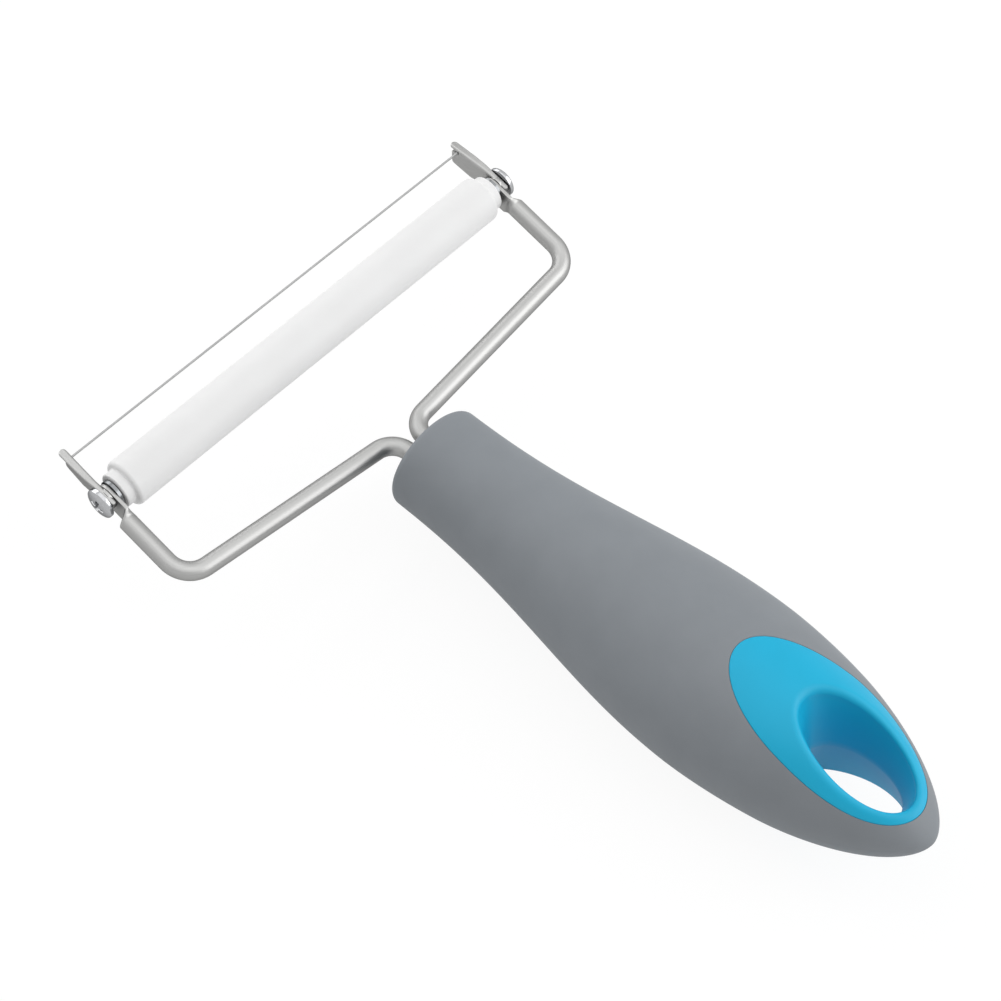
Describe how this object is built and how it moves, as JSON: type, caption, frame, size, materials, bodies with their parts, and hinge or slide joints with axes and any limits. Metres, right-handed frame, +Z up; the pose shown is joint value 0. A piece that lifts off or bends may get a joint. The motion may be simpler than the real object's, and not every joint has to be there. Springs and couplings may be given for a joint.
{
  "type": "cheese slicer",
  "caption": "Cheese slicer with a soft-grip teardrop handle, a forked steel rod frame, a guide roller and a tilting cutting wire.",
  "frame": {"origin": "middle of the bounding box in X and Y, at the lowest point of the handle belly in Z", "axes": "+X along the roller, +Y from the handle to the cutting wire, +Z up out of the coloured oval on the handle"},
  "size_m": [0.1128, 0.1704, 0.0305],
  "materials": {
    "soft_grip": "matt soft-touch elastomer",
    "core_plastic": "satin moulded plastic",
    "rod_steel": "bright drawn stainless rod",
    "sheet_steel": "bright stamped stainless sheet",
    "screw_steel": "plated screw",
    "wire_steel": "bright spring wire",
    "roller_plastic": "satin white plastic",
    "washer_steel": "plated steel washer"
  },
  "bodies": {
    "handle_and_fork": {"grip_sleeve": "soft_grip", "handle_core": "core_plastic", "left_fork_rod": "rod_steel", "right_fork_rod": "rod_steel", "left_spacer_washer": "washer_steel", "right_spacer_washer": "washer_steel", "left_pivot_screw": "screw_steel", "right_pivot_screw": "screw_steel"},
    "roller_body": {"roller": "roller_plastic"},
    "wire_frame": {"left_wire_bracket": "sheet_steel", "right_wire_bracket": "sheet_steel", "cutting_wire": "wire_steel"}
  },
  "joints": [
    {"name": "roller_spin", "type": "hinge", "parent": "handle_and_fork", "child": "roller_body", "pos_m": [0, 0.0728, 0.02393], "axis": [1, 0, 0], "continuous": true},
    {"name": "wire_tilt", "type": "hinge", "parent": "handle_and_fork", "child": "wire_frame", "pos_m": [0, 0.0728, 0.02393], "axis": [1, 0, 0], "range_deg": [-40, 40]}
  ]
}
